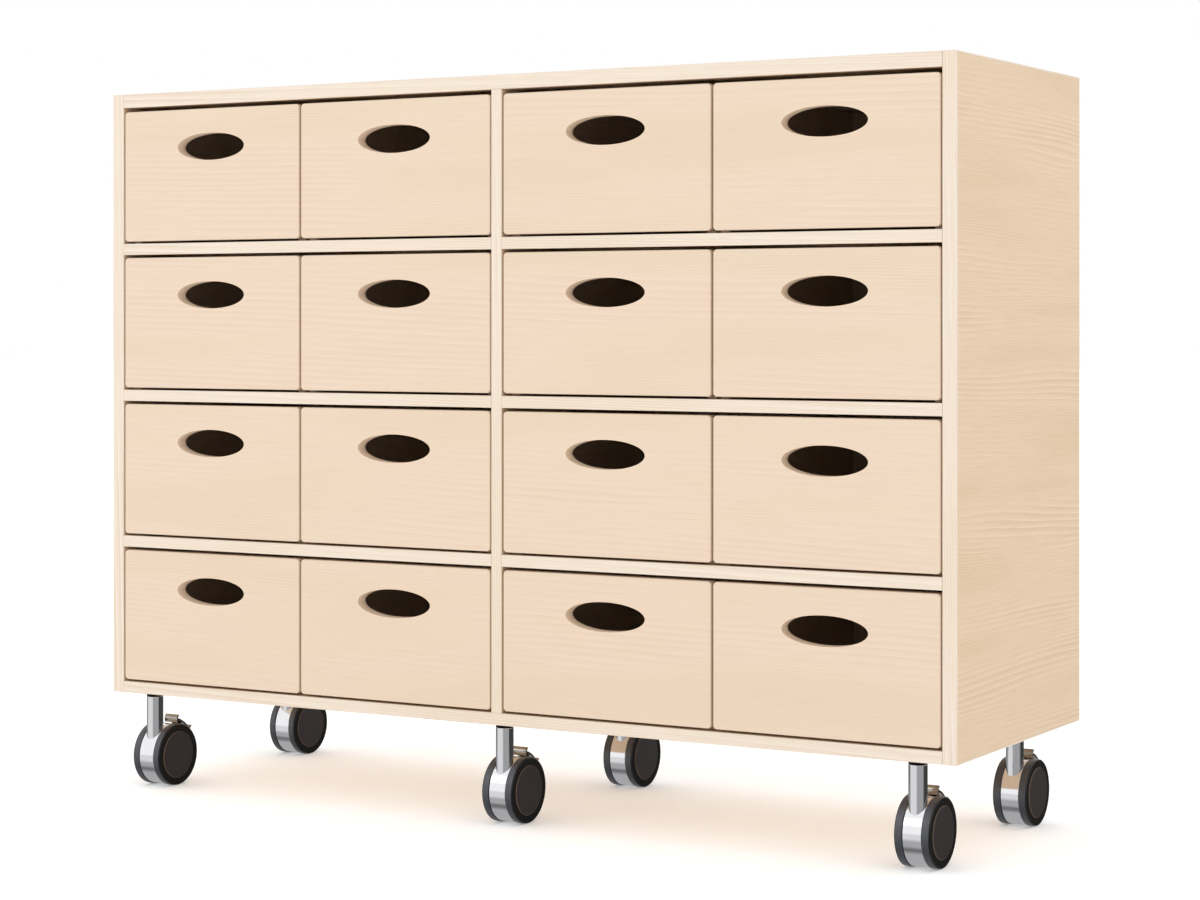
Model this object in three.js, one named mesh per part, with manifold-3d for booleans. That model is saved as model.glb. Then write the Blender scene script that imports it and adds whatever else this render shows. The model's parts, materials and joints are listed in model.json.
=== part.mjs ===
import * as THREE from 'three';
import { mergeVertices } from 'three/addons/utils/BufferGeometryUtils.js';
import Module from 'manifold-3d';

// A mobile wooden tray storage unit on twin-wheel castors, in millimetres.
// +Z is up, the tray fronts face -Y, and the origin is on the floor under the middle of the unit.

// Carcass boards
const BODY_WIDTH = 1224;
const BODY_DEPTH = 400;
const BODY_HEIGHT = 806;
const BOARD_THICKNESS = 15;
const SIDE_THICKNESS = 18;
const TOP_THICKNESS = 18;
const BOARD_EDGE_RADIUS = 1;
const GLUE_LINE = 0.1;
const BAYS = ['left', 'right'];
const ROWS = 4;
const TOP_ROW_EXTRA = 1.7;

// Back panel, held in grooves in the four outer boards
const BACK_THICKNESS = 8;
const BACK_INSET = 10;
const GROOVE_DEPTH = 6;
const GROOVE_CLEARANCE = 0.3;

// Trays, side by side in each compartment
const TRAYS_PER_BAY = 2;
const TRAY_SIDE_GAP = 2.2;
const TRAY_MIDDLE_GAP = 3;
const TRAY_TOP_GAP = 4.1;
const TRAY_BOTTOM_GAP = 2.5;
const TRAY_REST_GAP = 0.3;
const TRAY_REAR_GAP = 5;
const TRAY_SETBACK = 0.3;
const TRAY_FRONT_THICKNESS = 16;
const TRAY_CORNER_RADIUS = 5;
const TRAY_EDGE_ROUND = 1.6;
const TRAY_WALL = 12;
const TRAY_WALL_INSET = 2;
const TRAY_WALL_DROP = 10;
const TRAY_BASE = 6;
const TRAY_BASE_RAISE = 6;
const TRAY_JOINT_DEPTH = 6;

// Oval finger hole in the tray front
const HOLE_WIDTH = 108;
const HOLE_HEIGHT = 36;
const HOLE_DROP = 50.2;

// Castors: places of the swivel axes under the bottom panel
const CASTOR_SIDE_INSET = 56;
const CASTOR_FRONT_INSET = 20;
const CASTOR_REAR_INSET = 78;

// Castor wheels, and the chromed drum between them
const WHEEL_RADIUS = 41.5;
const WHEEL_WIDTH = 10.2;
const WHEEL_SHOULDER = 1.5;
const WHEEL_HEADROOM = 43.5;
const HUB_DISC_RADIUS = 31;
const HUB_DISC_RISE = 0.6;
const HUB_COVER = 4;
const DRUM_WIDTH = 23.4;
const DRUM_RIM_INSET = 1;
const WHEEL_GAP = 0.5;
const AXLE_RADIUS = 4;
const RUNNING_CLEARANCE = 0.3;

// Castor stem and the swivel pin that it turns on
const SWIVEL_TRAIL = 22;
const STEM_SIDE_INSET = 0.6;
const COLLAR_HEIGHT = 4.5;
const PIN_RADIUS = 5;
const PIN_REACH = 40;
const WOOD_OVER_PIN = 4;

// Brake lever, a strip round the drum's upper back that rocks on a pin in a slot
const LEVER_SIDE_INSET = 0.8;
const LEVER_THICKNESS = 2.8;
const LEVER_RIM_GAP = 5;
const LEVER_FRONT_ANGLE = THREE.MathUtils.degToRad(77);
const LEVER_REAR_ANGLE = THREE.MathUtils.degToRad(37);
const LEVER_LIP_HEIGHT = 5;
const LEVER_LIP_LEAN = THREE.MathUtils.degToRad(20);
const LEVER_UNDERCUT = THREE.MathUtils.degToRad(33);
const LEVER_HUB_RADIUS = 4.5;
const LEVER_HUB_WIDTH = 8;
const LEVER_PIVOT_DEPTH = 7;
const LEVER_PIN_RADIUS = 2;
const LEVER_SLOT_MARGIN = 1.8;

// Facets of the round pieces: sides in fours, so that a flat of each wheel lies on the floor
const WHEEL_SIDES = 24;
const STEM_SIDES = 12;
const PIN_SIDES = 8;
const HOLE_SEGMENTS = 20;
const CORNER_SEGMENTS = 2;
const LEVER_SEGMENTS = 4;

// Sizes that follow from those above
const bodyBottom = 2 * WHEEL_RADIUS + WHEEL_HEADROOM;
const frontPlane = -BODY_DEPTH / 2;
const innerWidth = BODY_WIDTH - 2 * SIDE_THICKNESS;
const innerDepth = BODY_DEPTH - BACK_INSET - BACK_THICKNESS;
const innerHeight = BODY_HEIGHT - TOP_THICKNESS - BOARD_THICKNESS;
const bayWidth = (innerWidth - (BAYS.length - 1) * BOARD_THICKNESS) / BAYS.length;
const rowOpening = (innerHeight - TOP_ROW_EXTRA - (ROWS - 1) * BOARD_THICKNESS) / ROWS;
const rowPitch = rowOpening + BOARD_THICKNESS;
const trayWidth = (bayWidth - 2 * TRAY_SIDE_GAP - (TRAYS_PER_BAY - 1) * TRAY_MIDDLE_GAP) / TRAYS_PER_BAY;
const trayFrontHeight = rowOpening - TRAY_TOP_GAP - TRAY_BOTTOM_GAP;
const trayDepth = innerDepth - TRAY_SETBACK - TRAY_REAR_GAP;
const trayWallTop = trayFrontHeight - TRAY_WALL_DROP;
const trayRunnerDrop = TRAY_BOTTOM_GAP - TRAY_REST_GAP;
const pinSeatDepth = BOARD_THICKNESS - WOOD_OVER_PIN;
const axleDrop = WHEEL_HEADROOM + WHEEL_RADIUS;
const axleReach = WHEEL_GAP + WHEEL_WIDTH - HUB_COVER - RUNNING_CLEARANCE;
const drumRadius = WHEEL_RADIUS - DRUM_RIM_INSET;
const stemRadius = DRUM_WIDTH / 2 - STEM_SIDE_INSET;
const leverWidth = DRUM_WIDTH - 2 * LEVER_SIDE_INSET;
const leverInner = drumRadius + LEVER_RIM_GAP;
const leverOuter = leverInner + LEVER_THICKNESS;
const leverPivotRadius = drumRadius - LEVER_PIVOT_DEPTH;
const leverPivotAngle = (LEVER_FRONT_ANGLE + LEVER_REAR_ANGLE) / 2;

// Materials
const boardWood = new THREE.MeshStandardMaterial({ color: 0xefdfc8, roughness: 0.55, metalness: 0 });
const trayWood = new THREE.MeshStandardMaterial({ color: 0xf2dbc3, roughness: 0.55, metalness: 0 });
const chrome = new THREE.MeshStandardMaterial({ color: 0xd5d6da, roughness: 0.15, metalness: 1 });
const blackSteel = new THREE.MeshStandardMaterial({ color: 0x232325, roughness: 0.45, metalness: 0.6 });
const tyreRubber = new THREE.MeshStandardMaterial({ color: 0x3a3b40, roughness: 0.6, metalness: 0 });

// Turns for a section drawn in the XY plane and extruded along Z, and for a lathe about Y
const X = new THREE.Vector3(1, 0, 0);
const Y = new THREE.Vector3(0, 1, 0);
const Z = new THREE.Vector3(0, 0, 1);
const minus = (axis) => axis.clone().negate();
const turn = (x, y, z) => new THREE.Matrix4().makeBasis(x, y, z);
const LYING = turn(Y, Z, X);
const LYING_FACE_DOWN = turn(Y, minus(Z), minus(X));
const UPRIGHT_FACING_LEFT = turn(Y, minus(X), Z);
const UPRIGHT_FACING_RIGHT = turn(Y, X, minus(Z));
const FACING_FRONT = turn(X, Z, minus(Y));
const LATHE_ALONG_X = turn(Z, X, Y);
const LATHE_ALONG_Z = turn(Y, Z, X);

const wasm = await Module();
wasm.setup();

function toSolid(geometry) {
  const bare = geometry.clone();
  bare.deleteAttribute('normal');
  bare.deleteAttribute('uv');
  const merged = mergeVertices(bare);
  const vertProperties = new Float32Array(merged.attributes.position.array);
  const triVerts = new Uint32Array(merged.index.array);
  return new wasm.Manifold(new wasm.Mesh({ numProp: 3, vertProperties, triVerts }));
}

function toGeometry(solid) {
  const mesh = solid.getMesh();
  const geometry = new THREE.BufferGeometry();
  geometry.setAttribute('position', new THREE.BufferAttribute(mesh.vertProperties, 3));
  geometry.setIndex(new THREE.BufferAttribute(mesh.triVerts, 1));
  geometry.computeVertexNormals();
  return geometry;
}

// A section extruded to a length that is centred on its own plane
function extrude(section, length, curveSegments = CORNER_SEGMENTS) {
  const solid = new THREE.ExtrudeGeometry(section, { depth: length, curveSegments, bevelEnabled: false });
  return solid.translate(0, 0, -length / 2);
}

function box(xRange, yRange, zRange) {
  const ranges = [xRange, yRange, zRange];
  const size = ranges.map(([low, high]) => high - low);
  const middle = ranges.map(([low, high]) => (low + high) / 2);
  return new THREE.BoxGeometry(...size).translate(...middle);
}

// A closed profile of [radius, along] pairs turned about Y, with a flat facing each axis
function lathe(profile, sides) {
  const points = profile.map(([radius, along]) => new THREE.Vector2(radius, along));
  return new THREE.LatheGeometry(points, sides, Math.PI / sides);
}

// Corner radius of a polygon whose flats touch the circle
function overFlats(radius, sides) {
  return radius / Math.cos(Math.PI / sides);
}

// A round hole from one place to another along Y, wide enough for a shaft and its running clearance
function hole(shaftRadius, from, to, sides) {
  const radius = overFlats(shaftRadius + RUNNING_CLEARANCE, sides);
  return lathe([[0, from], [radius, from], [radius, to], [0, to]], sides);
}

function place(parent, name, geometry, material, x = 0, y = 0, z = 0) {
  const mesh = new THREE.Mesh(geometry, material);
  mesh.name = name;
  mesh.position.set(x, y, z);
  parent.add(mesh);
}

// Section of a board: depth along X from the rounded front edge at 0, thickness along Y.
// The groove for the back panel, where there is one, is cut into the upper face near the rear edge.
function boardSection(depth, thickness, grooved) {
  const r = BOARD_EDGE_RADIUS;
  const section = new THREE.Shape();
  section.moveTo(r, 0);
  section.lineTo(depth, 0);
  section.lineTo(depth, thickness);
  if (grooved) {
    const rear = depth - BACK_INSET + GROOVE_CLEARANCE;
    const front = rear - BACK_THICKNESS - 2 * GROOVE_CLEARANCE;
    section.lineTo(rear, thickness);
    section.lineTo(rear, thickness - GROOVE_DEPTH);
    section.lineTo(front, thickness - GROOVE_DEPTH);
    section.lineTo(front, thickness);
  }
  section.absarc(r, thickness - r, r, 0.5 * Math.PI, Math.PI, false);
  section.absarc(r, r, r, Math.PI, 1.5 * Math.PI, false);
  return section;
}

function addSidePanels(unit) {
  const panel = extrude(boardSection(BODY_DEPTH, SIDE_THICKNESS, true), BODY_HEIGHT);
  const middle = bodyBottom + BODY_HEIGHT / 2;
  const left = panel.clone().applyMatrix4(UPRIGHT_FACING_RIGHT);
  const right = panel.clone().applyMatrix4(UPRIGHT_FACING_LEFT);
  place(unit, 'side_panel_left', left, boardWood, -BODY_WIDTH / 2, frontPlane, middle);
  place(unit, 'side_panel_right', right, boardWood, BODY_WIDTH / 2, frontPlane, middle);
}

function addTopPanel(unit) {
  const board = extrude(boardSection(BODY_DEPTH, TOP_THICKNESS, true), innerWidth - 2 * GLUE_LINE);
  board.applyMatrix4(LYING_FACE_DOWN);
  place(unit, 'top_panel', board, boardWood, 0, frontPlane, bodyBottom + BODY_HEIGHT);
}

// The bottom panel has a blind seat for the swivel pin of each castor
function addBottomPanel(unit, castorPlaces) {
  const board = extrude(boardSection(BODY_DEPTH, BOARD_THICKNESS, true), innerWidth - 2 * GLUE_LINE);
  let solid = toSolid(board.applyMatrix4(LYING));
  const seat = hole(PIN_RADIUS, -pinSeatDepth, pinSeatDepth + RUNNING_CLEARANCE, PIN_SIDES);
  seat.applyMatrix4(LATHE_ALONG_Z);
  for (const { x, y } of castorPlaces) {
    solid = solid.subtract(toSolid(seat.clone().translate(x, y - frontPlane, 0)));
  }
  place(unit, 'bottom_panel', toGeometry(solid), boardWood, 0, frontPlane, bodyBottom);
}

function addDivider(unit) {
  const section = boardSection(innerDepth - GLUE_LINE, BOARD_THICKNESS, false);
  const board = extrude(section, innerHeight - 2 * GLUE_LINE).applyMatrix4(UPRIGHT_FACING_LEFT);
  const middle = bodyBottom + BOARD_THICKNESS + innerHeight / 2;
  place(unit, 'centre_divider', board, boardWood, BOARD_THICKNESS / 2, frontPlane, middle);
}

function bayCentre(bay) {
  return (bay - (BAYS.length - 1) / 2) * (bayWidth + BOARD_THICKNESS);
}

// Shelves are counted from the bottom up in each bay
function addShelves(unit) {
  const section = boardSection(innerDepth - GLUE_LINE, BOARD_THICKNESS, false);
  const shelf = extrude(section, bayWidth - 2 * GLUE_LINE).applyMatrix4(LYING);
  BAYS.forEach((side, bay) => {
    for (let level = 1; level < ROWS; level += 1) {
      const z = bodyBottom + level * rowPitch;
      place(unit, `shelf_${side}_${level}`, shelf, boardWood, bayCentre(bay), frontPlane, z);
    }
  });
}

function addBackPanel(unit) {
  const tongue = GROOVE_DEPTH - GROOVE_CLEARANCE;
  const panel = new THREE.BoxGeometry(innerWidth + 2 * tongue, BACK_THICKNESS, innerHeight + 2 * tongue);
  const y = frontPlane + innerDepth + BACK_THICKNESS / 2;
  place(unit, 'back_panel', panel, boardWood, 0, y, bodyBottom + BOARD_THICKNESS + innerHeight / 2);
}

// A tray front with rounded corners and the oval hole, its outer face at Y 0 and its lower edge at Z 0.
// Its outer edges are rounded, and its inner face is planed flat for the walls.
function trayFront() {
  const r = TRAY_CORNER_RADIUS;
  const right = trayWidth / 2 - r;
  const top = trayFrontHeight - r;
  const face = new THREE.Shape();
  face.absarc(right, r, r, 1.5 * Math.PI, 2 * Math.PI, false);
  face.absarc(right, top, r, 0, 0.5 * Math.PI, false);
  face.absarc(-right, top, r, 0.5 * Math.PI, Math.PI, false);
  face.absarc(-right, r, r, Math.PI, 1.5 * Math.PI, false);
  const oval = new THREE.EllipseCurve(0, trayFrontHeight - HOLE_DROP, HOLE_WIDTH / 2, HOLE_HEIGHT / 2);
  face.holes.push(new THREE.Path(oval.getPoints(HOLE_SEGMENTS)));
  const front = new THREE.ExtrudeGeometry(face, {
    depth: TRAY_FRONT_THICKNESS,
    curveSegments: CORNER_SEGMENTS,
    bevelSegments: 1,
    bevelThickness: TRAY_EDGE_ROUND,
    bevelSize: TRAY_EDGE_ROUND,
    bevelOffset: -TRAY_EDGE_ROUND,
  });
  front.translate(0, 0, -TRAY_FRONT_THICKNESS - TRAY_EDGE_ROUND).applyMatrix4(FACING_FRONT);
  const behind = box([-trayWidth, trayWidth], [TRAY_FRONT_THICKNESS, trayDepth], [-trayWidth, trayWidth]);
  return toSolid(front).subtract(toSolid(behind));
}

// Section of a tray's side wall: it runs on the shelf behind the front and has a tongue into the front
function trayWallSection() {
  const tongueEnd = TRAY_FRONT_THICKNESS - TRAY_JOINT_DEPTH;
  const section = new THREE.Shape();
  section.moveTo(TRAY_FRONT_THICKNESS, -trayRunnerDrop);
  section.lineTo(trayDepth, -trayRunnerDrop);
  section.lineTo(trayDepth, trayWallTop);
  section.lineTo(tongueEnd, trayWallTop);
  section.lineTo(tongueEnd, TRAY_JOINT_DEPTH);
  section.lineTo(TRAY_FRONT_THICKNESS, TRAY_JOINT_DEPTH);
  return section;
}

// The five boards of a tray, glued into one box
function trayBox() {
  const wallX = trayWidth / 2 - TRAY_WALL_INSET - TRAY_WALL / 2;
  const wall = extrude(trayWallSection(), TRAY_WALL).applyMatrix4(LYING);
  const across = wallX - TRAY_WALL / 2 + TRAY_JOINT_DEPTH;
  const backFace = trayDepth - TRAY_WALL;
  const back = box([-across, across], [backFace, trayDepth], [-trayRunnerDrop, trayWallTop]);
  const baseDepth = [TRAY_FRONT_THICKNESS - TRAY_JOINT_DEPTH, backFace + TRAY_JOINT_DEPTH];
  const baseBottom = TRAY_BASE_RAISE - trayRunnerDrop;
  const base = box([-across, across], baseDepth, [baseBottom, baseBottom + TRAY_BASE]);
  const boards = [wall.clone().translate(-wallX, 0, 0), wall.clone().translate(wallX, 0, 0), back, base];
  let tray = trayFront();
  for (const board of boards) {
    tray = tray.add(toSolid(board));
  }
  return toGeometry(tray);
}

// Rows are counted from the top down and columns from left to right
function addTrays(unit) {
  const tray = trayBox();
  const y = frontPlane + TRAY_SETBACK;
  for (let row = 1; row <= ROWS; row += 1) {
    const z = bodyBottom + BOARD_THICKNESS + (ROWS - row) * rowPitch + TRAY_BOTTOM_GAP;
    BAYS.forEach((side, bay) => {
      for (let slot = 0; slot < TRAYS_PER_BAY; slot += 1) {
        const x = bayCentre(bay) + (slot - (TRAYS_PER_BAY - 1) / 2) * (trayWidth + TRAY_MIDDLE_GAP);
        const column = bay * TRAYS_PER_BAY + slot + 1;
        place(unit, `tray_r${row}_c${column}`, tray, trayWood, x, y, z);
      }
    });
  }
}

// The castor's own frame has the swivel axis on Z and the underside of the bottom panel at Z 0.

// Swivel pin with its collar: it stays in the bottom panel while the housing turns on it
function castorPin() {
  const profile = [
    [0, -PIN_REACH],
    [PIN_RADIUS, -PIN_REACH],
    [PIN_RADIUS, -COLLAR_HEIGHT],
    [stemRadius, -COLLAR_HEIGHT],
    [stemRadius, -GLUE_LINE],
    [PIN_RADIUS, -GLUE_LINE],
    [PIN_RADIUS, pinSeatDepth],
    [0, pinSeatDepth],
  ];
  return lathe(profile, STEM_SIDES).applyMatrix4(LATHE_ALONG_Z);
}

// The drum between the wheels with the axle ends that the wheels turn on, about the axle
function drum() {
  const side = DRUM_WIDTH / 2;
  const end = side + axleReach;
  const profile = [
    [0, -end],
    [AXLE_RADIUS, -end],
    [AXLE_RADIUS, -side],
    [drumRadius, -side],
    [drumRadius, side],
    [AXLE_RADIUS, side],
    [AXLE_RADIUS, end],
    [0, end],
  ];
  return lathe(profile, WHEEL_SIDES).applyMatrix4(LATHE_ALONG_X);
}

// Outline round the lever's pivot that runs outwards, radially from the axle, as far as the reach
function pivotOutline(radius, reach) {
  const outline = new THREE.Shape();
  outline.absarc(0, 0, radius, 0.5 * Math.PI, 1.5 * Math.PI, false);
  outline.lineTo(reach, -radius);
  outline.lineTo(reach, radius);
  return outline;
}

// Puts a section drawn about the lever's pivot, with X pointing outwards, into its place about the axle
function atLeverPivot(section) {
  section.translate(leverPivotRadius, 0, 0).rotateZ(leverPivotAngle);
  return section.applyMatrix4(LYING);
}

function leverHole(radius, length) {
  const round = lathe([[0, -length / 2], [radius, -length / 2], [radius, length / 2], [0, length / 2]], PIN_SIDES);
  return atLeverPivot(round.rotateX(0.5 * Math.PI));
}

// Housing: stem and drum in one casting, bored for the swivel pin, with the lever's slot and pin
function castorHousing() {
  const stemTop = -COLLAR_HEIGHT - RUNNING_CLEARANCE;
  const stemProfile = [[0, -axleDrop], [stemRadius, -axleDrop], [stemRadius, stemTop], [0, stemTop]];
  const stem = lathe(stemProfile, STEM_SIDES).applyMatrix4(LATHE_ALONG_Z);
  const bore = hole(PIN_RADIUS, -PIN_REACH - RUNNING_CLEARANCE, 0, STEM_SIDES).applyMatrix4(LATHE_ALONG_Z);
  const slotOutline = pivotOutline(LEVER_HUB_RADIUS + LEVER_SLOT_MARGIN, 2 * LEVER_PIVOT_DEPTH);
  const slotWidth = LEVER_HUB_WIDTH + 2 * RUNNING_CLEARANCE;
  const slot = atLeverPivot(extrude(slotOutline, slotWidth, LEVER_SEGMENTS));
  const pin = leverHole(LEVER_PIN_RADIUS, slotWidth + 2 * LEVER_PIN_RADIUS);
  const toAxle = (geometry) => toSolid(geometry.translate(0, SWIVEL_TRAIL, -axleDrop));
  const body = toAxle(drum()).subtract(toAxle(slot)).add(toAxle(pin));
  return toGeometry(body.add(toSolid(stem)).subtract(toSolid(bore)));
}

// Wheel with its tread, its raised hub disc on the outer face and its blind bore, about the axle.
// The inner face is at 0 and the face of the disc at the wheel's width.
function castorWheel() {
  const tread = overFlats(WHEEL_RADIUS, WHEEL_SIDES);
  const bore = overFlats(AXLE_RADIUS + RUNNING_CLEARANCE, WHEEL_SIDES);
  const boreEnd = WHEEL_WIDTH - HUB_COVER;
  const sideWall = WHEEL_WIDTH - HUB_DISC_RISE;
  const profile = [
    [0, boreEnd],
    [bore, boreEnd],
    [bore, 0],
    [tread, 0],
    [tread, sideWall - WHEEL_SHOULDER],
    [tread - WHEEL_SHOULDER, sideWall],
    [HUB_DISC_RADIUS, sideWall],
    [HUB_DISC_RADIUS, WHEEL_WIDTH],
    [0, WHEEL_WIDTH],
  ];
  return lathe(profile, WHEEL_SIDES).applyMatrix4(LATHE_ALONG_X);
}

// A point of a lip: its height in a direction, from the outer face of the lever's strip at an angle
function lipPoint(angle, direction) {
  const x = leverOuter * Math.cos(angle) + LEVER_LIP_HEIGHT * Math.cos(direction);
  const y = leverOuter * Math.sin(angle) + LEVER_LIP_HEIGHT * Math.sin(direction);
  return [x, y];
}

// Brake lever: a strip concentric with the drum, turned up at both ends, on a hub that sits in the slot.
// The front lip leans back, and the strip's end under it is undercut.
function castorLever() {
  const lipAngle = LEVER_THICKNESS / leverOuter;
  const undercutAngle = LEVER_THICKNESS * Math.tan(LEVER_UNDERCUT) / leverInner;
  const front = LEVER_FRONT_ANGLE;
  const rear = LEVER_REAR_ANGLE;
  const lean = front - LEVER_LIP_LEAN;
  const strip = new THREE.Shape();
  strip.absarc(0, 0, leverInner, rear, front - undercutAngle, false);
  strip.lineTo(leverOuter * Math.cos(front), leverOuter * Math.sin(front));
  strip.lineTo(...lipPoint(front, lean));
  strip.lineTo(...lipPoint(front - lipAngle, lean));
  strip.absarc(0, 0, leverOuter, front - lipAngle, rear + lipAngle, true);
  strip.lineTo(...lipPoint(rear + lipAngle, rear));
  strip.lineTo(...lipPoint(rear, rear));
  const hubReach = LEVER_PIVOT_DEPTH + LEVER_RIM_GAP + LEVER_THICKNESS / 2;
  const hub = atLeverPivot(extrude(pivotOutline(LEVER_HUB_RADIUS, hubReach), LEVER_HUB_WIDTH, LEVER_SEGMENTS));
  const boreRadius = overFlats(LEVER_PIN_RADIUS + RUNNING_CLEARANCE, PIN_SIDES);
  const bore = leverHole(boreRadius, 2 * LEVER_HUB_WIDTH);
  const plate = toSolid(extrude(strip, leverWidth, LEVER_SEGMENTS).applyMatrix4(LYING));
  return toGeometry(plate.add(toSolid(hub)).subtract(toSolid(bore)));
}

function addCastors(unit, castorPlaces) {
  const pin = castorPin();
  const housing = castorHousing();
  const wheelRight = castorWheel();
  const wheelLeft = wheelRight.clone().rotateZ(Math.PI);
  const lever = castorLever();
  const wheelX = DRUM_WIDTH / 2 + WHEEL_GAP;
  for (const { name, x, y } of castorPlaces) {
    const castor = new THREE.Group();
    castor.position.set(x, y, bodyBottom);
    place(castor, `${name}_pin`, pin, blackSteel);
    place(castor, `${name}_housing`, housing, chrome);
    place(castor, `${name}_wheel_left`, wheelLeft, tyreRubber, -wheelX, SWIVEL_TRAIL, -axleDrop);
    place(castor, `${name}_wheel_right`, wheelRight, tyreRubber, wheelX, SWIVEL_TRAIL, -axleDrop);
    place(castor, `${name}_brake_lever`, lever, chrome, 0, SWIVEL_TRAIL, -axleDrop);
    unit.add(castor);
  }
}

const castorX = BODY_WIDTH / 2 - CASTOR_SIDE_INSET;
const castorRows = { front: frontPlane + CASTOR_FRONT_INSET, rear: -frontPlane - CASTOR_REAR_INSET };
const castorColumns = { left: -castorX, middle: 0, right: castorX };
const castorPlaces = [];
for (const [row, y] of Object.entries(castorRows)) {
  for (const [column, x] of Object.entries(castorColumns)) {
    castorPlaces.push({ name: `castor_${row}_${column}`, x, y });
  }
}

const unit = new THREE.Group();
addSidePanels(unit);
addTopPanel(unit);
addBottomPanel(unit, castorPlaces);
addDivider(unit);
addShelves(unit);
addBackPanel(unit);
addTrays(unit);
addCastors(unit, castorPlaces);

export default unit;
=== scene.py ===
# %% [markdown]
# # A tray storage unit on castors
# The unit is a wooden carcass with sixteen pull-out trays, on six twin-wheel castors. The measured solids
# come first and are never moved: they are the frame that every piece here is built around. A piece that
# takes the place of a solid is made from that solid's own box, so it fits without any trial.

# %% Load the frame
import json
import math

import bmesh
import bpy
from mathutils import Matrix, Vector

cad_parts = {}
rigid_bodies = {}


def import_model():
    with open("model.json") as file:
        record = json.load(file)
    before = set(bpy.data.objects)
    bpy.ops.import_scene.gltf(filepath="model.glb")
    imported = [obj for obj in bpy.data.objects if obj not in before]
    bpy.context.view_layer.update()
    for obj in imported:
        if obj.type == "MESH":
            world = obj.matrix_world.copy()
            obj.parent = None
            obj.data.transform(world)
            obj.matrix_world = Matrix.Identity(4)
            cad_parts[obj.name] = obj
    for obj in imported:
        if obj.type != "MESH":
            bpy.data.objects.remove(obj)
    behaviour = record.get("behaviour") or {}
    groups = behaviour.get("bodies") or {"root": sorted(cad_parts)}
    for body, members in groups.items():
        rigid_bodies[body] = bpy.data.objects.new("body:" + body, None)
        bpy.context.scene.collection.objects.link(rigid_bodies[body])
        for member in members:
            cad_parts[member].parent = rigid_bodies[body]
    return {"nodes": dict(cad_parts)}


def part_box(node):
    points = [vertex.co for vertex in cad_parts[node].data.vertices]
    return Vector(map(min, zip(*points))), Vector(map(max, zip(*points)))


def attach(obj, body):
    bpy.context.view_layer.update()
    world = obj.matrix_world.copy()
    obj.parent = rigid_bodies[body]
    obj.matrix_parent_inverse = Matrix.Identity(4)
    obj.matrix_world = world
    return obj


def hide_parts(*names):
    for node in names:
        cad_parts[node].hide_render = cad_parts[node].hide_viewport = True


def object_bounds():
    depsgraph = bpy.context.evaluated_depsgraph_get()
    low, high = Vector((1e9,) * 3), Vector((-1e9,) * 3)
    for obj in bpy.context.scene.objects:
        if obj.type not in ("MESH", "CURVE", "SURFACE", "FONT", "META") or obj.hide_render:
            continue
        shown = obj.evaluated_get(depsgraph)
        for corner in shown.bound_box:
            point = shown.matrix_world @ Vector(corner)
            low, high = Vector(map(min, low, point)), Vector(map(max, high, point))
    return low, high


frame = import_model()
CAD_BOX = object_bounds()
MM = 0.001
cad_size = [round(side, 4) for side in CAD_BOX[1] - CAD_BOX[0]]
print("solids loaded:", len(frame["nodes"]), "in a box of", cad_size, "m")

# %% [markdown]
# ## Selecting by place
# By hand we would click on the edges that we want to round. A script can't click, so it asks each vertex,
# edge or face a question about its place instead, and selects those that answer yes. One function does this
# for all three.

# %% Selection helpers
NEAR = 0.02 * MM
PARALLEL = 0.99


def alone(piece):
    """Leaves only this piece selected, and makes it the active one."""
    bpy.ops.object.select_all(action="DESELECT")
    piece.select_set(True)
    bpy.context.view_layer.objects.active = piece


def pick(piece, kind, test):
    """Goes into edit mode with only those vertices, edges or faces selected that pass the test."""
    alone(piece)
    bpy.ops.object.mode_set(mode="EDIT")
    bpy.ops.mesh.select_mode(type=kind)
    bpy.ops.mesh.select_all(action="DESELECT")
    mesh = bmesh.from_edit_mesh(piece.data)
    for part in {"VERT": mesh.verts, "EDGE": mesh.edges, "FACE": mesh.faces}[kind]:
        part.select_set(test(part))
    mesh.select_flush_mode()
    bmesh.update_edit_mesh(piece.data)


def lies_on(axis, value):
    """A test for edges that lie in the plane where that axis has that value."""
    return lambda edge: all(abs(vertex.co[axis] - value) < NEAR for vertex in edge.verts)


def runs_along(axis):
    """A test for edges that run along an axis."""
    return lambda edge: abs((edge.verts[1].co - edge.verts[0].co).normalized()[axis]) > PARALLEL


# %% [markdown]
# ## Blocks, roundings and cuts
# Nearly all of the unit is sawn board, so its pieces start as a cube drawn out to a box. What makes a board
# look like a board is its edges: a real edge is never perfectly sharp, and the small rounding is what
# catches the light. Holes and grooves are cut with a Boolean modifier, which is what a router does to the
# real board.

# %% Shaping helpers
X, Y, Z = range(3)
ARRIS = 0.25 * MM
SQUARE_ANGLE = math.radians(60)
SMOOTH_ANGLE = math.radians(40)


def block(name, low, high):
    """A cube drawn out between two corners."""
    bpy.ops.object.select_all(action="DESELECT")
    bpy.ops.mesh.primitive_cube_add(size=1, location=(Vector(low) + Vector(high)) / 2)
    piece = bpy.context.object
    piece.name = name
    piece.scale = Vector(high) - Vector(low)
    bpy.ops.object.transform_apply(location=True, rotation=True, scale=True)
    return piece


def round_edges(piece, radius, segments, test):
    """Rounds the edges that pass the test."""
    pick(piece, "EDGE", test)
    bpy.ops.mesh.bevel(offset=radius, segments=segments, affect="EDGES")
    bpy.ops.object.mode_set(mode="OBJECT")


def apply(piece, kind, **settings):
    """Adds a modifier with its settings, and applies it at once."""
    alone(piece)
    modifier = piece.modifiers.new(kind.lower(), kind)
    for key, value in settings.items():
        setattr(modifier, key, value)
    bpy.ops.object.modifier_apply(modifier=modifier.name)


def cut(piece, cutter):
    """Takes the cutter's shape out of the piece, and throws the cutter away."""
    apply(piece, "BOOLEAN", operation="DIFFERENCE", solver="EXACT", object=cutter)
    bpy.data.objects.remove(cutter)


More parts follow.
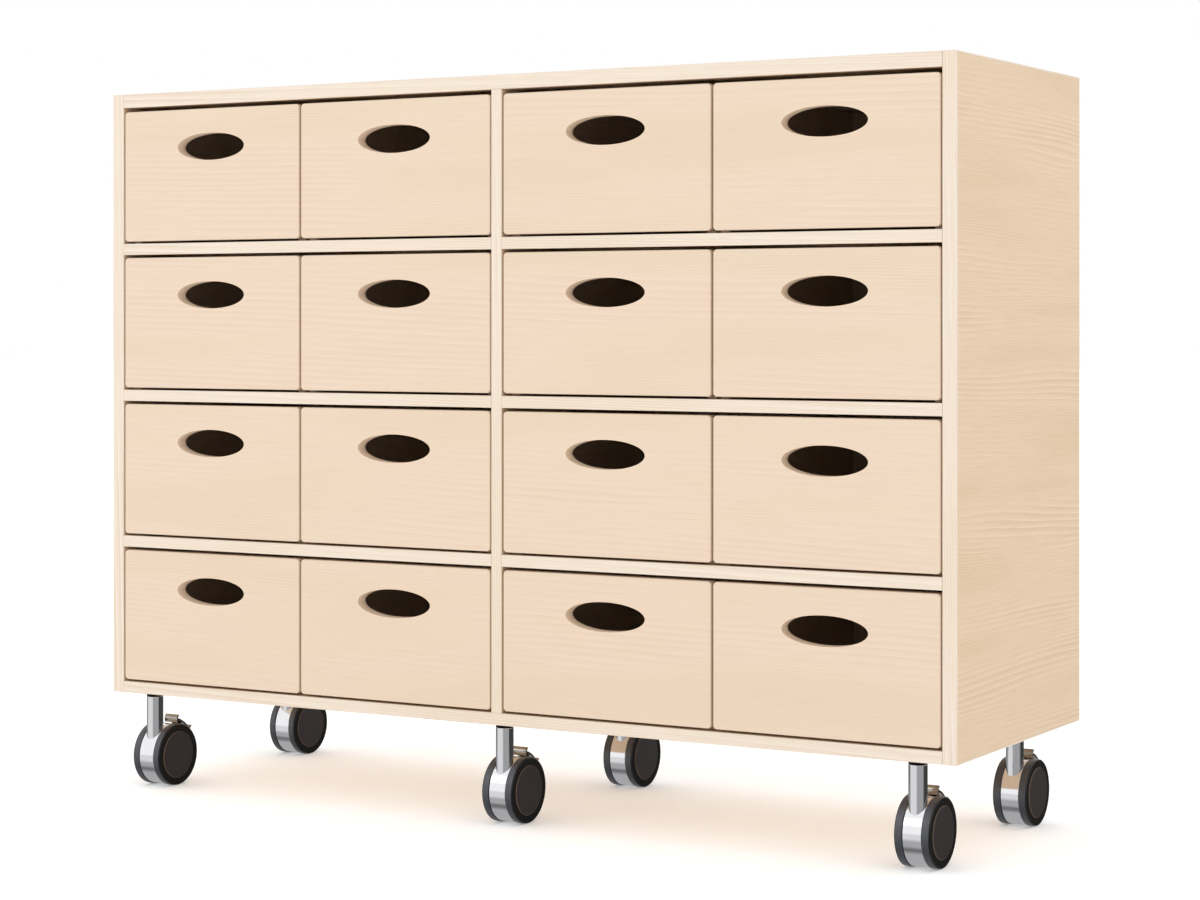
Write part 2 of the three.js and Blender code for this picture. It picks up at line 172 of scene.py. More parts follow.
def bevel_square_edges(piece, width, segments):
    """Bevels all edges that are still square."""
    apply(piece, "BEVEL", width=width, segments=segments, limit_method="ANGLE", angle_limit=SQUARE_ANGLE)


def break_arrises(piece):
    """Takes the sharpness off all edges that are still square, as a stroke of sandpaper does."""
    bevel_square_edges(piece, ARRIS, 1)


def smooth(piece):
    """Shades rounded edges smoothly, and keeps the flats flat by weighting the normals by face size."""
    alone(piece)
    bpy.ops.object.shade_smooth_by_angle(angle=SMOOTH_ANGLE)
    apply(piece, "WEIGHTED_NORMAL", keep_sharp=True)


def copy_of(piece, name, shift):
    """A copy with its own mesh, moved by the shift, with its new place kept in the mesh."""
    alone(piece)
    bpy.ops.object.duplicate()
    twin = bpy.context.object
    twin.name = name
    twin.location = shift
    bpy.ops.object.transform_apply(location=True, rotation=True, scale=True)
    return twin


def dress(piece, material, body, slot, *stands_for):
    """Gives the piece its material, and lets it ride on its body in place of the solids it stands for."""
    piece.data.materials.clear()
    piece.data.materials.append(material)
    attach(piece, body)
    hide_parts(*stands_for)


# %% [markdown]
# ## Colours and nodes
# Colours are written as the hex codes that a paint program shows. Blender's shaders work in linear light,
# so one function turns a code into linear values by the curve of the sRGB standard. A second function adds
# a node: its settings, the values of its inputs, and its links, all in one call, so that each material
# below reads from top to bottom like a recipe. It gives back the one output that the next step needs.

# %% Colour and node helpers
MIX_FACTOR, MIX_A, MIX_B, MIX_RESULT = 0, 6, 7, 2
OPAQUE = 1


def linear(code):
    """An sRGB hex code as linear red, green, blue and alpha."""
    channels = [int(code[start:start + 2], 16) / 255 for start in (1, 3, 5)]
    return [*(c / 12.92 if c <= 0.04045 else ((c + 0.055) / 1.055) ** 2.4 for c in channels), OPAQUE]


def add(tree, kind, inputs, output=0, **settings):
    """Adds a node and gives back one of its outputs. An input takes a value, or a socket to link to."""
    node = tree.nodes.new("ShaderNode" + kind)
    for key, value in settings.items():
        setattr(node, key, value)
    for key, value in inputs.items():
        if isinstance(value, bpy.types.NodeSocket):
            tree.links.new(value, node.inputs[key])
        else:
            node.inputs[key].default_value = value
    return node.outputs[output]


def new_material(name):
    """A material with its node tree and its shader."""
    material = bpy.data.materials.new(name)
    material.use_nodes = True
    return material, material.node_tree, material.node_tree.nodes["Principled BSDF"]


# %% [markdown]
# ## Pale softwood laminate
# The boards are faced with a pale softwood: cream, with growth rings a few millimetres apart that run along
# the board and wander a little. Where the saw runs nearly along the rings they spread into broad soft
# bands, and where it crosses them they close up into fine lines. An image would be the quick way, but it
# stretches and repeats. Here one wave texture draws the fine lines and one the broad bands, and a slow
# noise decides where each of them shows. A second noise pushes both sideways first, which makes lines that
# bunch and spread as real ones do. The third noise, drawn out along the grain, is the fibre that also gives
# the lacquer its slight unevenness. A fibre is really about 0.3 mm wide; it is drawn coarser, because that
# would not show. Where a piece carries a rim mark, as the finger holes do, the colour is paler: partly the
# sanded wood there, and partly a painted highlight for the light that the rounded rim catches. Each wood
# comes in three materials, because the grain of a board may run along any of the three axes.

# %% Wood
WAVE_PERIOD = 2 * math.pi / 10
FIBRE_WIDTH = 1.3 * MM
FIBRE_STRETCH = 40
FIBRE_DETAIL = 3.0
FIBRE_SHOWS = (0.45, 0.75)
FIBRE_BUMP = 0.2
FIBRE_DEPTH = 0.06 * MM
FIGURE_WIDTH = 130 * MM
FIGURE_STRETCH = 9
FIGURE_DETAIL = 2.0
PATCH_WIDTH = 60 * MM
PATCH_DETAIL = 1.0
BROAD_BANDS = 2.6
LINES_SHOW = (0.42, 0.62)
BANDS_SHOW = (0.56, 0.36)
RAGGED_RINGS = {"Distortion": 0.9, "Detail": 1.0, "Detail Scale": 0.4}
LACQUER_ROUGHNESS = (0.5, 0.66)
LACQUER_IOR = 1.5
RIM_HIGHLIGHT_MARK = "rim"


def along(axis, stretch):
    """Scale of a mapping that draws a pattern out along one axis."""
    return [1 / stretch if letter == axis else 1 for letter in "xyz"]


def wood(name, grain, early, late, warm, ring, sway, depth, rim=None):
    """Lacquered softwood with its grain along an axis: rings so far apart, swaying so far, and so dark."""
    material, tree, shader = new_material(f"{name}_along_{grain}")
    place = add(tree, "TexCoord", {}, "Object")
    figure_place = add(tree, "Mapping", {"Vector": place, "Scale": along(grain, FIGURE_STRETCH)})
    fibre_place = add(tree, "Mapping", {"Vector": place, "Scale": along(grain, FIBRE_STRETCH)})
    figure_grain = {"Vector": figure_place, "Scale": 1 / FIGURE_WIDTH, "Detail": FIGURE_DETAIL}
    figure = add(tree, "TexNoise", figure_grain, "Color")
    patch_grain = {"Vector": figure_place, "Scale": 1 / PATCH_WIDTH, "Detail": PATCH_DETAIL}
    patch = add(tree, "TexNoise", patch_grain)
    fibre_grain = {"Vector": fibre_place, "Scale": 1 / FIBRE_WIDTH, "Detail": FIBRE_DETAIL}
    fibre = add(tree, "TexNoise", fibre_grain)
    swayed = add(tree, "VectorMath", {0: figure, 1: [sway] * 3, 2: fibre_place}, operation="MULTIPLY_ADD")
    tones = {MIX_FACTOR: patch, MIX_A: linear(early), MIX_B: linear(warm)}
    colour = add(tree, "Mix", tones, MIX_RESULT, data_type="RGBA")
    for spacing, (shows_from, shows_to) in ((ring, LINES_SHOW), (BROAD_BANDS * ring, BANDS_SHOW)):
        rings = add(
            tree,
            "TexWave",
            {"Vector": swayed, "Scale": WAVE_PERIOD / spacing, **RAGGED_RINGS},
            "Fac",
            bands_direction="DIAGONAL",
            wave_profile="SAW",
        )
        shows = {"Value": patch, "From Min": shows_from, "From Max": shows_to, "To Max": depth}
        lines = add(tree, "Math", {0: rings, 1: add(tree, "MapRange", shows)}, operation="MULTIPLY")
        ringed = {MIX_FACTOR: lines, MIX_A: colour, MIX_B: linear(late)}
        colour = add(tree, "Mix", ringed, MIX_RESULT, data_type="RGBA")
    shows_from, shows_to = FIBRE_SHOWS
    shows = {"Value": fibre, "From Min": shows_from, "From Max": shows_to, "To Max": depth / 2}
    threaded = {MIX_FACTOR: add(tree, "MapRange", shows), MIX_A: colour, MIX_B: linear(late)}
    colour = add(tree, "Mix", threaded, MIX_RESULT, data_type="RGBA")
    # The rim mark paints marked faces in the rim colour: paler bare wood, and in part a painted highlight.
    if rim:
        mark = add(tree, "Attribute", {}, "Fac", attribute_name=RIM_HIGHLIGHT_MARK)
        bare_and_highlit = {MIX_FACTOR: mark, MIX_A: colour, MIX_B: linear(rim)}
        colour = add(tree, "Mix", bare_and_highlit, MIX_RESULT, data_type="RGBA")
    smoothest, roughest = LACQUER_ROUGHNESS
    roughness = add(tree, "MapRange", {"Value": fibre, "To Min": smoothest, "To Max": roughest})
    bump = add(tree, "Bump", {"Height": fibre, "Strength": FIBRE_BUMP, "Distance": FIBRE_DEPTH})
    tree.links.new(colour, shader.inputs["Base Color"])
    tree.links.new(roughness, shader.inputs["Roughness"])
    tree.links.new(bump, shader.inputs["Normal"])
    shader.inputs["IOR"].default_value = LACQUER_IOR
    return material


def by_grain(name, *tones, **figure):
    """One wood as three materials, with the grain along each axis."""
    return {axis: wood(name, axis, *tones, **figure) for axis in "xyz"}


# The boards: cream with wandering tan lines and a dull sheen, the liveliest figure of the three.
PANEL = by_grain("board_laminate", "#EAD3BA", "#CDAC85", "#E0C8A9", ring=2.7 * MM, sway=46 * MM, depth=0.56)
# The bands on their edges: paler, with straight lines, so that every board has a light outline.
EDGE = by_grain("edge_band", "#EDE2D6", "#D5BDA0", "#EADCCA", ring=3.4 * MM, sway=10 * MM, depth=0.6)
# The trays: a little pinker, with a faint figure that looks plain from afar, and paler warm wood in the
# holes: bare wood, and in part a painted highlight on the rounded rim.
TRAY = by_grain(
    "tray_laminate", "#E9D2C1", "#D0B08E", "#E0CFB5", ring=3.2 * MM, sway=24 * MM, depth=0.31, rim="#F5DDC3"
)
for woods in (PANEL, EDGE, TRAY):
    print("wood:", [material.name for material in woods.values()])

# %% [markdown]
# ## Chrome, rubber and moulded nylon
# The castor's casting is polished and chrome plated. The brake lever is plated darker, and its hub and the
# pin's collar are blackened steel. The tread is thermoplastic rubber, the rim black nylon and its cover
# brown-black nylon, all three moulded. Each finish could have a recipe of its own, but they all are two
# close tones and a roughness that one noise varies, so one function makes them. Rubber, nylon and blackened
# steel also have the grit of the mould or the bath as a fine bump. That grit is really about a tenth of a
# millimetre; it is drawn at a millimetre or more, because finer would not show. Where a piece carries a rim
# mark, its edge is painted in a paler colour: a painted highlight for the light that the edge would catch.

# %% Castor materials
GRIT_DETAIL = 3.0
GRIT_BUMP = 0.3
METAL = 1.0
POLISH = 9 * MM
NO_BUMP = 0.0


def finish(name, colour, shade, roughness, grain, bump_depth, metallic=0.0, ior=1.5, rim=None):
    """A finish with two close tones, and a roughness that varies between two values at that grain size."""
    material, tree, shader = new_material(name)
    place = add(tree, "TexCoord", {}, "Object")
    grit = add(tree, "TexNoise", {"Vector": place, "Scale": 1 / grain, "Detail": GRIT_DETAIL})
    tones = {MIX_FACTOR: grit, MIX_A: linear(colour), MIX_B: linear(shade)}
    tone = add(tree, "Mix", tones, MIX_RESULT, data_type="RGBA")
    # Painted highlight: the rim mark paints the edge in the rim colour, for the light that a rounded edge
    # catches.
    if rim:
        mark = add(tree, "Attribute", {}, "Fac", attribute_name=RIM_HIGHLIGHT_MARK)
        painted_highlight = {MIX_FACTOR: mark, MIX_A: tone, MIX_B: linear(rim)}
        tone = add(tree, "Mix", painted_highlight, MIX_RESULT, data_type="RGBA")
    rough = add(tree, "MapRange", {"Value": grit, "To Min": roughness[0], "To Max": roughness[1]})
    bump = add(tree, "Bump", {"Height": grit, "Strength": GRIT_BUMP, "Distance": bump_depth})
    tree.links.new(tone, shader.inputs["Base Color"])
    tree.links.new(rough, shader.inputs["Roughness"])
    tree.links.new(bump, shader.inputs["Normal"])
    shader.inputs["Metallic"].default_value = metallic
    shader.inputs["IOR"].default_value = ior
    return material


# A mirror with a breath of handling on it: it shows the studio's walls as clear light and dark stripes.
CHROME = finish("chrome_plated_zinc", "#F2F2F4", "#EAEAEE", (0.05, 0.12), POLISH, NO_BUMP, METAL)
# The same mirror in a brown-grey plate, a little blurred, so that the lever stands apart from the stem.
DARK_CHROME = finish("dark_chrome_plated_steel", "#B0A9A2", "#A6A099", (0.1, 0.18), POLISH, NO_BUMP, METAL)
# A dull blue-grey skin with a broad soft highlight along the tread.
TREAD = finish("moulded_slate_rubber", "#33363E", "#2C2F36", (0.3, 0.42), 1.2 * MM, 0.02 * MM, ior=1.75)
# The darkest and smoothest plastic: a black side wall with a narrow highlight on its shoulder.
RIM = finish("moulded_black_nylon", "#12110F", "#161412", (0.18, 0.26), 1.0 * MM, 0.01 * MM)
# A warm matt disc with the fine spark texture of its mould, and a thin tan ring painted on its edge: a
# painted highlight.
COVER = finish(
    "moulded_brown_black_nylon", "#281D1D", "#231919", (0.4, 0.5), 1.0 * MM, 0.02 * MM, rim="#7E6650"
)
# A dark metal that hardly shines, and reads as the shadow line between the board and the bright stem.
BLACKENED = finish("blackened_steel", "#1B1B1D", "#232326", (0.35, 0.5), 1.5 * MM, 0.01 * MM, METAL)
castor_finishes = (CHROME, DARK_CHROME, TREAD, RIM, COVER, BLACKENED)
print("castor materials:", [material.name for material in castor_finishes])

# %% [markdown]
# ## Carcass boards
# Each board is a core with a thin band glued on every edge that shows. The bands are a paler strip of the
# same wood with lines along its length, rounded over at both long edges, and that rounding gives the bright
# line at the front corners of the unit. One could model the board in one piece and only paint the band, but
# separate strips give the fine seam for free. The core's own box shrinks by the band each time, so core and
# bands fill the solid's box exactly.

# %% Boards with their edge bands
EDGE_BAND = 2 * MM
EDGE_RADIUS = 1 * MM
EDGE_SEGMENTS = 3
BACK_CLEARANCE = 0.3 * MM
SIDES = {"front": (Y, -1), "rear": (Y, 1), "top": (Z, 1), "bottom": (Z, -1)}


def edge_band(node, side, low, high):
    """A strip on one side of a board, with its two long outer edges rounded."""
    axis, direction = SIDES[side]
    outer = high[axis] if direction > 0 else low[axis]
    size = high - low
    length = max(range(3), key=lambda i: size[i])
    strip = block(f"{node}_band_{side}", low, high)
    on_outside, along_length = lies_on(axis, outer), runs_along(length)
    round_edges(strip, EDGE_RADIUS, EDGE_SEGMENTS, lambda edge: on_outside(edge) and along_length(edge))
    break_arrises(strip)
    smooth(strip)
    dress(strip, EDGE["xyz"[length]], "carcass", "board_wood")


def board(node, banded_sides, grooved=False):
    """A carcass board: a band on each side that shows, and the core between them."""
    low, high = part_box(node)
    for side in banded_sides:
        axis, direction = SIDES[side]
        band_low, band_high = low.copy(), high.copy()
        if direction > 0:
            high[axis] -= EDGE_BAND
            band_low[axis] = high[axis]
        else:
            low[axis] += EDGE_BAND
            band_high[axis] = low[axis]
        edge_band(node, side, band_low, band_high)
    core = block(f"{node}_core", low, high)
    if grooved:
        back_low, back_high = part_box("back_panel")
        room = Vector([BACK_CLEARANCE] * 3)
        cut(core, block("groove_cutter", back_low - room, back_high + room))
    return core


def finish_core(core, node, grain):
    """The last steps of every core."""
    break_arrises(core)
    smooth(core)
    dress(core, PANEL[grain], "carcass", "board_wood", node)


for node in ("side_panel_left", "side_panel_right"):
    finish_core(board(node, ("front", "rear", "top", "bottom"), grooved=True), node, "y")
finish_core(board("top_panel", ("front", "rear"), grooved=True), "top_panel", "x")
finish_core(board("centre_divider", ("front",)), "centre_divider", "z")
for bay in ("left", "right"):
    for level in (1, 2, 3):
        shelf = f"shelf_{bay}_{level}"
        finish_core(board(shelf, ("front",)), shelf, "x")
finish_core(board("back_panel", ()), "back_panel", "x")
carcass = [piece for piece in bpy.data.objects if piece.name.endswith("_core") or "_band_" in piece.name]
print("carcass pieces, without the bottom board:", len(carcass))

# %% [markdown]
# ## Turned pieces
# Pins, drums and wheels are all turned about an axis. We start with a circle, extrude its rim from ring to
# ring, and scale each new ring to its radius, just as a profile is stepped along on a lathe. A Screw
# modifier would do it too, but it needs a drawn profile first. For a solid piece the circle is filled
# before the first step, so both ends are closed; a tube comes back to its first ring, and the doubled
# points are merged.

# %% Turning helper
TURNED_SIDES = 96
MERGE = NEAR / 4
LATHE_TURN = {X: (0, math.pi / 2, 0), Z: (0, 0, 0)}


def turned(name, axis, centre, profile, closed):
    """A piece turned about an axis through the centre, from (distance along the axis, radius) pairs."""
    direction = Vector([1 if i == axis else 0 for i in range(3)])
    (at, radius), *steps = profile
    bpy.ops.object.select_all(action="DESELECT")
    bpy.ops.mesh.primitive_circle_add(
        vertices=TURNED_SIDES, radius=radius, location=centre + at * direction, rotation=LATHE_TURN[axis]
    )
    piece = bpy.context.object
    piece.name = name
    bpy.ops.object.transform_apply(location=True, rotation=True, scale=True)
    bpy.ops.object.mode_set(mode="EDIT")
    bpy.ops.mesh.select_all(action="SELECT")
    if not closed:
        bpy.ops.mesh.edge_face_add()
    for next_at, next_radius in steps:
        bpy.ops.mesh.extrude_region_move(TRANSFORM_OT_translate={"value": (next_at - at) * direction})
        growth = [next_radius / radius] * 3
        bpy.ops.transform.resize(value=growth, center_override=centre + next_at * direction)
        at, radius = next_at, next_radius
    bpy.ops.mesh.select_all(action="SELECT")
    bpy.ops.mesh.remove_doubles(threshold=MERGE)
    bpy.ops.mesh.normals_make_consistent(inside=False)
    bpy.ops.object.mode_set(mode="OBJECT")
    return piece


def arc(centre, radius, start, end, steps):
    """Points of an arc in (along, radius) terms, with angles in degrees from the axis direction."""
    angles = [math.radians(start + (end - start) * i / steps) for i in range(steps + 1)]
    return [(centre[0] + radius * math.cos(a), centre[1] + radius * math.sin(a)) for a in angles]


# %% [markdown]
# ## Bottom board with its pin seats
# The bottom board is a board like the others, with one blind hole for each castor's pin. The holes could be
# measured in the solid, but they come from the pins themselves: a cylinder as wide as the pin, plus a
# little room, is cut out of the core.

# %% Bottom board
PIN_RADIUS = 5 * MM
RUNNING_ROOM = 0.3 * MM
PIN_BORE = PIN_RADIUS + RUNNING_ROOM
CASTORS = [f"castor_{row}_{side}" for row in ("front", "rear") for side in ("left", "middle", "right")]

bottom = board("bottom_panel", ("front", "rear"), grooved=True)
for castor in CASTORS:
    low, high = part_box(f"{castor}_pin")
    middle = (low + high) / 2
    seat = [(low.z - middle.z, PIN_BORE), (high.z - middle.z + RUNNING_ROOM, PIN_BORE)]
    cut(bottom, turned("seat_cutter", Z, middle, seat, closed=False))
finish_core(bottom, "bottom_panel", "x")
print("bottom board:", len(bottom.data.polygons), "faces with", len(CASTORS), "pin seats")

# %% [markdown]
# ## Tray fronts
# A tray front is a board with soft corners and one oval finger hole, whose front rim is rounded over so
# that it is kind to small hands. The corners and the outer rim are bevelled first, while the board is still
# a plain block. Then the hole is cut with an oval cylinder, and its rim is rounded last. The order matters:
# a bevel needs a clean edge on both sides, and the cut leaves thin edges across the face from the hole to
# the rim. The faces of the hole get the rim mark at the end, so that the finish paints them paler: as bare
# sanded wood, and in part as a painted highlight on the rounded rim.

# %% Tray front
FRONT_THICKNESS = 18 * MM
RUNNER_DROP = 2.7 * MM
CORNER_RADIUS = 5 * MM
CORNER_SEGMENTS = 6
RIM_RADIUS = 1.8 * MM
RIM_SEGMENTS = 4
HOLE_WIDTH = 110.5 * MM
HOLE_HEIGHT = 36 * MM
HOLE_DROP = 50.2 * MM
HOLE_RIM_RADIUS = 1.2 * MM
HOLE_REACH = 0.55
HOLE_SIDES = 96
FLAT = 0.97

tray_low, tray_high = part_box("tray_r1_c1")
front_low = tray_low + Vector((0, 0, RUNNER_DROP))
front_high = Vector((tray_high.x, tray_low.y + FRONT_THICKNESS, tray_high.z))
front = block("tray_front", front_low, front_high)
round_edges(front, CORNER_RADIUS, CORNER_SEGMENTS, runs_along(Y))
round_edges(front, RIM_RADIUS, RIM_SEGMENTS, lies_on(Y, front_low.y))

hole_middle = (tray_low.x + tray_high.x) / 2
hole_centre = Vector((hole_middle, (front_low.y + front_high.y) / 2, front_high.z - HOLE_DROP))
bpy.ops.object.select_all(action="DESELECT")
bpy.ops.mesh.primitive_cylinder_add(
    vertices=HOLE_SIDES,
    radius=1 / 2,
    depth=2 * FRONT_THICKNESS,
    location=hole_centre,
    rotation=(math.pi / 2, 0, 0),
)
oval = bpy.context.object
oval.scale = (HOLE_WIDTH, HOLE_HEIGHT, 1)
bpy.ops.object.transform_apply(location=True, rotation=True, scale=True)
cut(front, oval)


def by_hole(place):
    """Whether a place is on the oval's wall, or within its rounded rim."""
    reach = place - hole_centre
    return math.hypot(reach.x / HOLE_WIDTH, reach.z / HOLE_HEIGHT) < HOLE_REACH


def hole_rim(edge):
    """A test for edges round the oval on the front face."""
    return lies_on(Y, front_low.y)(edge) and all(by_hole(vertex.co) for vertex in edge.verts)


def mark_rim(piece, axis, test):
    """Marks the faces that pass the test and don't lie square to the axis, for the finish to paint paler,
    partly as a painted highlight.
    """
    rim = piece.data.attributes.new(RIM_HIGHLIGHT_MARK, "FLOAT", "FACE")
    for face in piece.data.polygons:
        rim.data[face.index].value = float(abs(face.normal[axis]) < FLAT and test(face.center))


round_edges(front, HOLE_RIM_RADIUS, RIM_SEGMENTS, hole_rim)
break_arrises(front)
smooth(front)
# The hole's faces get the rim mark, which paints them paler: bare wood, and in part a painted highlight.
mark_rim(front, Y, by_hole)
print("tray front:", len(front.data.polygons), "faces")

# %% [markdown]
# ## Tray boxes
# Behind the front are two side walls that run on the shelf, a back and a thin base between them. They only
# show when a tray is pulled out, but then they show all at once. A hollowed block would have their outline,
# but no seams and one grain all round, so each is a board of its own. The tops of the walls are rounded for
# the hands.

# %% Tray walls
WALL = 12 * MM
WALL_INSET = 2 * MM
WALL_DROP = 10 * MM
WALL_TOP_RADIUS = 2.5 * MM
BASE = 6 * MM
BASE_RAISE = 6 * MM

wall_top = front_high.z - WALL_DROP
left_in = tray_low.x + WALL_INSET + WALL
right_in = tray_high.x - WALL_INSET - WALL
back_in = tray_high.y - WALL
base_low = tray_low.z + BASE_RAISE
walls = {
    "wall_left": ((left_in - WALL, front_high.y, tray_low.z), (left_in, tray_high.y, wall_top), Y),
    "wall_right": ((right_in, front_high.y, tray_low.z), (right_in + WALL, tray_high.y, wall_top), Y),
    "back": ((left_in, back_in, tray_low.z), (right_in, tray_high.y, wall_top), X),
}
tray_pieces = {"front": (front, TRAY["x"])}
for name, (low, high, length) in walls.items():
    wall = block(f"tray_{name}", low, high)
    on_top, along_wall = lies_on(Z, wall_top), runs_along(length)
    round_edges(wall, WALL_TOP_RADIUS, RIM_SEGMENTS, lambda edge: on_top(edge) and along_wall(edge))
    break_arrises(wall)
    smooth(wall)
    tray_pieces[name] = (wall, TRAY["xyz"[length]])
base = block("tray_base", (left_in, front_high.y, base_low), (right_in, back_in, base_low + BASE))
break_arrises(base)
smooth(base)
tray_pieces["base"] = (base, TRAY["y"])
print("tray pieces:", list(tray_pieces))

# %% [markdown]
# ## Sixteen trays
# The five boards are copied to the place of each tray's solid. Copies could share one mesh, but each has
# its own with the place in it, so the wood pattern, which is fixed in space, is different on every tray.

# %% Copy the trays
for row in (1, 2, 3, 4):
    for column in (1, 2, 3, 4):
        node = f"tray_r{row}_c{column}"
        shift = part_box(node)[0] - tray_low
        for name, (piece, material) in tray_pieces.items():
            twin = copy_of(piece, f"{node}_{name}", shift)
            dress(twin, material, node, "tray_wood", *([node] if name == "front" else []))
for piece, _ in tray_pieces.values():
    bpy.data.objects.remove(piece)
names = [piece.name for piece in bpy.data.objects]
print("trays:", sum(name.startswith("tray_r") and name.endswith("_front") for name in names))

# %% [markdown]
# ## Castor: collar, stem and drum
# A castor hangs on a blackened pin whose collar sits against the bottom board. A chromed stem turns on the
# pin and runs down into a drum, and the wheels turn on the two ends of the drum's axle. All of it is turned
# work. The stem could simply run into the drum, but it is cut to the drum's round with a Boolean, so that
# the two meet in the curved line that a real casting shows there, with nothing hidden inside.

# %% Collar, stem and drum
COLLAR_HEIGHT = 4.5 * MM
COLLAR_SEAT = 0.1 * MM
STEM_RADIUS = 11.1 * MM
STEM_CHAMFER = 0.6 * MM
STEM_STEPS = 3
AXLE_RADIUS = 4 * MM
DRUM_ROUND = 0.8 * MM
DRUM_STEPS = 4
DRUM_INSET = 1 * MM
WHEEL_GAP = 0.5 * MM
HUB_COVER = 4 * MM

castor = CASTORS[0]
pin_low, pin_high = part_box(f"{castor}_pin")
wheel_low, wheel_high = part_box(f"{castor}_wheel_right")
board_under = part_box("bottom_panel")[0].z
swivel = Vector(((pin_low.x + pin_high.x) / 2, (pin_low.y + pin_high.y) / 2, board_under))
axle = Vector((swivel.x, (wheel_low.y + wheel_high.y) / 2, (wheel_low.z + wheel_high.z) / 2))
wheel_radius = (wheel_high.z - wheel_low.z) / 2
wheel_width = wheel_high.x - wheel_low.x
drum_side = wheel_low.x - WHEEL_GAP - axle.x
drum_radius = wheel_radius - DRUM_INSET
axle_end = drum_side + WHEEL_GAP + wheel_width - HUB_COVER - RUNNING_ROOM

collar = turned(
    "castor_collar",
    Z,
    swivel,
    [
        (pin_low.z - board_under, PIN_RADIUS),
        (-COLLAR_HEIGHT, PIN_RADIUS),
        *arc((-COLLAR_HEIGHT + STEM_CHAMFER, STEM_RADIUS - STEM_CHAMFER), STEM_CHAMFER, 180, 90, STEM_STEPS),
        *arc((-COLLAR_SEAT - STEM_CHAMFER, STEM_RADIUS - STEM_CHAMFER), STEM_CHAMFER, 90, 0, STEM_STEPS),
        (-COLLAR_SEAT, PIN_RADIUS),
        (pin_high.z - board_under, PIN_RADIUS),
    ],
    closed=False,
)
drum_edge = drum_side - DRUM_ROUND
drum_profile = [
    (-axle_end, AXLE_RADIUS),
    (-drum_side, AXLE_RADIUS),
    *arc((-drum_edge, drum_radius - DRUM_ROUND), DRUM_ROUND, 180, 90, DRUM_STEPS),
    *arc((drum_edge, drum_radius - DRUM_ROUND), DRUM_ROUND, 90, 0, DRUM_STEPS),
    (drum_side, AXLE_RADIUS),
    (axle_end, AXLE_RADIUS),
]
drum = turned("castor_drum", X, axle, drum_profile, closed=False)
stem_top = -COLLAR_HEIGHT - RUNNING_ROOM
stem = turned(
    "castor_stem",
    Z,
    swivel,
    [
        (stem_top, PIN_BORE),
        *arc((stem_top - STEM_CHAMFER, STEM_RADIUS - STEM_CHAMFER), STEM_CHAMFER, 0, 90, STEM_STEPS),
        (axle.z - board_under, STEM_RADIUS),
        (axle.z - board_under, PIN_BORE),
        (stem_top, PIN_BORE),
    ],
    closed=True,
)
cut(stem, turned("drum_cutter", X, axle, drum_profile, closed=False))
print("castor axle at", [round(value, 4) for value in axle], "stem faces", len(stem.data.polygons))

# %% [markdown]
# ## Castor: brake lever
# The brake is a dark plated strip that follows the drum's round at its upper back, turned up at both ends
# for the foot. Bending a flat strip would need a window, so it is swept instead: one small rectangle is
# spun about the axle, in steps as long as the lips are thick, and the outer faces of the first and last
# step are drawn out to make the lips. The front lip leans back for the sole of the shoe, and the end under
# it slopes back too. Last, the inner face of that end is drawn down into a short nose, which nearly closes
# the gap between lever and drum.

# %% Lever strip
LEVER_WIDTH = 21.8 * MM
LEVER_RIM_GAP = 5 * MM
LEVER_THICKNESS = 2.8 * MM
LEVER_LIP = 5 * MM
LEVER_FRONT_ANGLE = math.radians(77)
LEVER_REAR_ANGLE = math.radians(37)
LEVER_LEAN = math.radians(20)
LEVER_UNDERCUT = math.radians(16)
LEVER_NOSE = 4 * MM
LEVER_NOSE_LEAN = math.radians(33)
LEVER_ROUND = 0.25 * MM
LEVER_SEGMENTS = 3
FACING = 0.9

lever_inner = drum_radius + LEVER_RIM_GAP
lever_outer = lever_inner + LEVER_THICKNESS
lever_sweep = LEVER_FRONT_ANGLE - LEVER_REAR_ANGLE
lever_steps = round(lever_sweep * (lever_outer + LEVER_LIP) / LEVER_THICKNESS)


def spoke(angle):
    """The direction from the axle at an angle above the rear horizon."""
    return Vector((0, math.cos(angle), math.sin(angle)))


def draw_out(strip, angle, outside, move):
    """Draws out one face of the strip, on its outside or its inside, in the step that ends at an angle."""
    side = 1 if outside else -1

    def end_face(face):
        arm = face.calc_center_median() - axle
        facing = side * face.normal.dot(arm.normalized()) > FACING
        on_side = side * (arm.length - (lever_inner + lever_outer) / 2) > 0
        return facing and on_side and abs(math.atan2(arm.z, arm.y) - angle) < lever_sweep / lever_steps

    pick(strip, "FACE", end_face)
    bpy.ops.mesh.extrude_region_move(TRANSFORM_OT_translate={"value": move})
    bpy.ops.object.mode_set(mode="OBJECT")


bpy.ops.object.select_all(action="DESELECT")
bpy.ops.mesh.primitive_plane_add(size=1)
lever = bpy.context.object
lever.scale = (LEVER_WIDTH, LEVER_THICKNESS, 1)
lever.rotation_euler = (LEVER_REAR_ANGLE, 0, 0)
lever.location = axle + (lever_inner + lever_outer) / 2 * spoke(LEVER_REAR_ANGLE)
bpy.ops.object.transform_apply(location=True, rotation=True, scale=True)
bpy.ops.object.mode_set(mode="EDIT")
bpy.ops.mesh.select_all(action="SELECT")
bpy.ops.mesh.spin(steps=lever_steps, angle=lever_sweep, center=axle, axis=(-1, 0, 0))
bpy.ops.mesh.select_all(action="SELECT")
bpy.ops.mesh.normals_make_consistent(inside=False)
bpy.ops.object.mode_set(mode="OBJECT")
draw_out(lever, LEVER_REAR_ANGLE, True, LEVER_LIP * spoke(LEVER_REAR_ANGLE))
draw_out(lever, LEVER_FRONT_ANGLE, True, LEVER_LIP * spoke(LEVER_FRONT_ANGLE - LEVER_LEAN))
inner_corner = axle + lever_inner * spoke(LEVER_FRONT_ANGLE)
